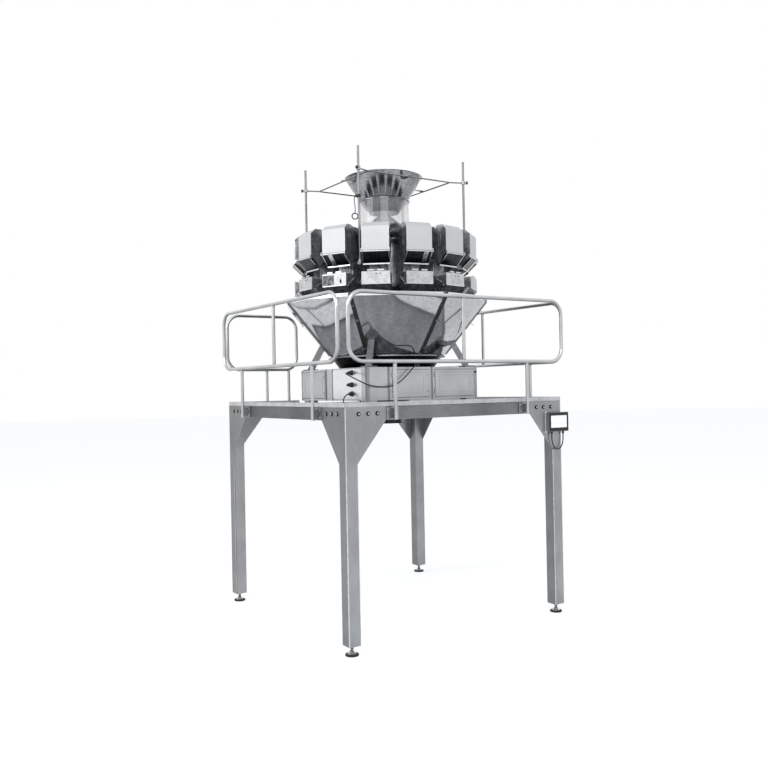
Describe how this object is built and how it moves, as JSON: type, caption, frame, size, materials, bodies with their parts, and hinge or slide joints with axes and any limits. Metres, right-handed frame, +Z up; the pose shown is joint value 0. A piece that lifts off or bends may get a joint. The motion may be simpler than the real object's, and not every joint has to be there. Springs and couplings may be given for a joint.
{
  "type": "multihead weigher on platform",
  "caption": "Combination weigher with a ring of feed and weigh hoppers, a collecting chute and an infeed funnel, on a railed steel platform with levelling feet.",
  "frame": {"origin": "on the floor under the middle of the platform", "axes": "+Z up, -Y towards the front with the operator panel, +X to the right seen from the front"},
  "size_m": [2.234, 2.234, 3.9],
  "materials": {
    "satin_stainless": "brushed",
    "chequer_plate": "raised chequer pattern",
    "mirror_stainless": "mirror polished",
    "drive_housing": "satin",
    "black_rubber": "matt",
    "clear_acrylic": "clear",
    "black_plastic": "moulded"
  },
  "bodies": {
    "weigher": {"base_cabinets": "satin_stainless", "cabinet_lead": "black_rubber", "clear_skirt": "clear_acrylic", "deck": "chequer_plate", "deck_frame": "satin_stainless", "deck_lead": "black_rubber", "discharge_funnel": "mirror_stainless", "dispersion_cone": "mirror_stainless", "drum": "drive_housing", "feeders_back": "mirror_stainless", "feeders_front": "mirror_stainless", "feeders_left": "mirror_stainless", "feeders_right": "mirror_stainless", "foot_back_left": "black_rubber", "foot_back_right": "black_rubber", "foot_front_left": "black_rubber", "foot_front_right": "black_rubber", "funnel_stand": "satin_stainless", "head_01": "mirror_stainless", "head_02": "mirror_stainless", "head_03": "mirror_stainless", "head_04": "mirror_stainless", "head_05": "mirror_stainless", "head_06": "mirror_stainless", "head_07": "mirror_stainless", "head_08": "mirror_stainless", "head_09": "mirror_stainless", "head_10": "mirror_stainless", "head_11": "mirror_stainless", "head_12": "mirror_stainless", "head_13": "mirror_stainless", "head_14": "mirror_stainless", "infeed_funnel": "mirror_stainless", "leg_back_left": "satin_stainless", "leg_back_right": "satin_stainless", "leg_front_left": "satin_stainless", "leg_front_right": "satin_stainless", "operator_panel": "black_plastic", "panel_lead": "black_rubber", "rail_back_left": "satin_stainless", "rail_back_right": "satin_stainless", "rail_front": "satin_stainless", "rail_left": "satin_stainless", "rail_right": "satin_stainless", "upper_chute": "mirror_stainless", "weigher_stand": "satin_stainless"},
    "gate_01": {"gate_01": "satin_stainless"},
    "gate_02": {"gate_02": "satin_stainless"},
    "gate_03": {"gate_03": "satin_stainless"},
    "gate_04": {"gate_04": "satin_stainless"},
    "gate_05": {"gate_05": "satin_stainless"},
    "gate_06": {"gate_06": "satin_stainless"},
    "gate_07": {"gate_07": "satin_stainless"},
    "gate_08": {"gate_08": "satin_stainless"},
    "gate_09": {"gate_09": "satin_stainless"},
    "gate_10": {"gate_10": "satin_stainless"},
    "gate_11": {"gate_11": "satin_stainless"},
    "gate_12": {"gate_12": "satin_stainless"},
    "gate_13": {"gate_13": "satin_stainless"},
    "gate_14": {"gate_14": "satin_stainless"}
  },
  "joints": [
    {"name": "gate_01_hinge", "type": "hinge", "parent": "weigher", "child": "gate_01", "pos_m": [0.17969, -0.78725, 3.0215], "axis": [-0.9749, -0.2225, 0], "range_deg": [0, 60], "stiffness_Nm_per_rad": 0.6, "springref_deg": -51.57},
    {"name": "gate_02_hinge", "type": "hinge", "parent": "weigher", "child": "gate_02", "pos_m": [0.50347, -0.63133, 3.0215], "axis": [-0.7818, -0.6235, 0], "range_deg": [0, 60], "stiffness_Nm_per_rad": 0.6, "springref_deg": -51.57},
    {"name": "gate_03_hinge", "type": "hinge", "parent": "weigher", "child": "gate_03", "pos_m": [0.72753, -0.35036, 3.0215], "axis": [-0.4339, -0.901, 0], "range_deg": [0, 60], "stiffness_Nm_per_rad": 0.6, "springref_deg": -51.57},
    {"name": "gate_04_hinge", "type": "hinge", "parent": "weigher", "child": "gate_04", "pos_m": [0.8075, 0, 3.0215], "axis": [0, -1, 0], "range_deg": [0, 60], "stiffness_Nm_per_rad": 0.6, "springref_deg": -51.57},
    {"name": "gate_05_hinge", "type": "hinge", "parent": "weigher", "child": "gate_05", "pos_m": [0.72753, 0.35036, 3.0215], "axis": [0.4339, -0.901, 0], "range_deg": [0, 60], "stiffness_Nm_per_rad": 0.6, "springref_deg": -51.57},
    {"name": "gate_06_hinge", "type": "hinge", "parent": "weigher", "child": "gate_06", "pos_m": [0.50347, 0.63133, 3.0215], "axis": [0.7818, -0.6235, 0], "range_deg": [0, 60], "stiffness_Nm_per_rad": 0.6, "springref_deg": -51.57},
    {"name": "gate_07_hinge", "type": "hinge", "parent": "weigher", "child": "gate_07", "pos_m": [0.17969, 0.78725, 3.0215], "axis": [0.9749, -0.2225, 0], "range_deg": [0, 60], "stiffness_Nm_per_rad": 0.6, "springref_deg": -51.57},
    {"name": "gate_08_hinge", "type": "hinge", "parent": "weigher", "child": "gate_08", "pos_m": [-0.17969, 0.78725, 3.0215], "axis": [0.9749, 0.2225, 0], "range_deg": [0, 60], "stiffness_Nm_per_rad": 0.6, "springref_deg": -51.57},
    {"name": "gate_09_hinge", "type": "hinge", "parent": "weigher", "child": "gate_09", "pos_m": [-0.50347, 0.63133, 3.0215], "axis": [0.7818, 0.6235, 0], "range_deg": [0, 60], "stiffness_Nm_per_rad": 0.6, "springref_deg": -51.57},
    {"name": "gate_10_hinge", "type": "hinge", "parent": "weigher", "child": "gate_10", "pos_m": [-0.72753, 0.35036, 3.0215], "axis": [0.4339, 0.901, 0], "range_deg": [0, 60], "stiffness_Nm_per_rad": 0.6, "springref_deg": -51.57},
    {"name": "gate_11_hinge", "type": "hinge", "parent": "weigher", "child": "gate_11", "pos_m": [-0.8075, 0, 3.0215], "axis": [0, 1, 0], "range_deg": [0, 60], "stiffness_Nm_per_rad": 0.6, "springref_deg": -51.57},
    {"name": "gate_12_hinge", "type": "hinge", "parent": "weigher", "child": "gate_12", "pos_m": [-0.72753, -0.35036, 3.0215], "axis": [-0.4339, 0.901, 0], "range_deg": [0, 60], "stiffness_Nm_per_rad": 0.6, "springref_deg": -51.57},
    {"name": "gate_13_hinge", "type": "hinge", "parent": "weigher", "child": "gate_13", "pos_m": [-0.50347, -0.63133, 3.0215], "axis": [-0.7818, 0.6235, 0], "range_deg": [0, 60], "stiffness_Nm_per_rad": 0.6, "springref_deg": -51.57},
    {"name": "gate_14_hinge", "type": "hinge", "parent": "weigher", "child": "gate_14", "pos_m": [-0.17969, -0.78725, 3.0215], "axis": [-0.9749, 0.2225, 0], "range_deg": [0, 60], "stiffness_Nm_per_rad": 0.6, "springref_deg": -51.57}
  ]
}
